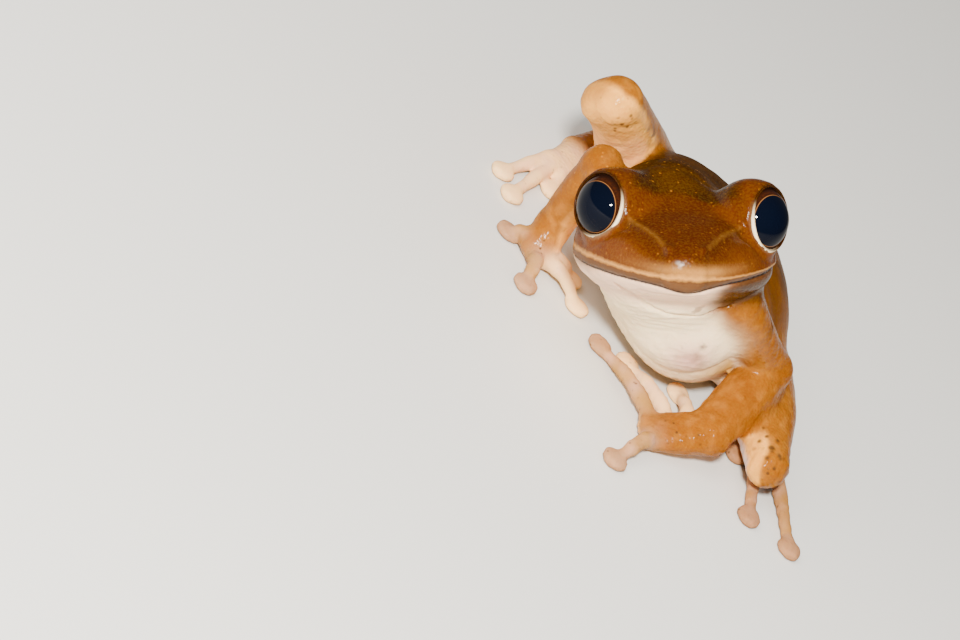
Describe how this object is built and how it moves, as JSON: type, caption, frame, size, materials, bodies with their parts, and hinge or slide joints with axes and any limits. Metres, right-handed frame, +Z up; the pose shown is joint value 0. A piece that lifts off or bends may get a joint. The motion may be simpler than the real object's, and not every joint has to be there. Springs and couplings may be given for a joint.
{
  "type": "tree frog model",
  "caption": "Still, life-size model of a brown tree frog sitting on its toe discs, head turned and tipped to one side, with large dark eyes and one forefoot stretched forward.",
  "frame": {"origin": "middle of the footprint, on the plane the discs of the fingers and toes rest on", "axes": "+X the frog's left, +Y from the head to the rump, +Z up; the snout points to -Y"},
  "size_m": [0.0536, 0.0614, 0.0311],
  "materials": {
    "body_skin": "moist smooth skin, orange brown above and cream below",
    "digit_skin": "moist pale skin of the fingers and toes",
    "eye": "wet clear cornea over a wide dark pupil and a narrow copper iris"
  },
  "bodies": {
    "root": {"head": "body_skin", "trunk": "body_skin", "eye_left": "eye", "eye_right": "eye", "upper_arm_left": "body_skin", "forearm_left": "body_skin", "hand_left": "body_skin", "finger_1_left": "digit_skin", "finger_2_left": "digit_skin", "finger_3_left": "digit_skin", "finger_4_left": "digit_skin", "thigh_left": "body_skin", "shank_left": "body_skin", "tarsus_left": "body_skin", "foot_left": "body_skin", "toe_1_left": "digit_skin", "toe_2_left": "digit_skin", "toe_3_left": "digit_skin", "toe_4_left": "digit_skin", "toe_5_left": "digit_skin", "upper_arm_right": "body_skin", "forearm_right": "body_skin", "hand_right": "body_skin", "finger_1_right": "digit_skin", "finger_2_right": "digit_skin", "finger_3_right": "digit_skin", "finger_4_right": "digit_skin", "thigh_right": "body_skin", "shank_right": "body_skin", "tarsus_right": "body_skin", "foot_right": "body_skin", "toe_1_right": "digit_skin", "toe_2_right": "digit_skin", "toe_3_right": "digit_skin", "toe_4_right": "digit_skin", "toe_5_right": "digit_skin"}
  },
  "joints": []
}
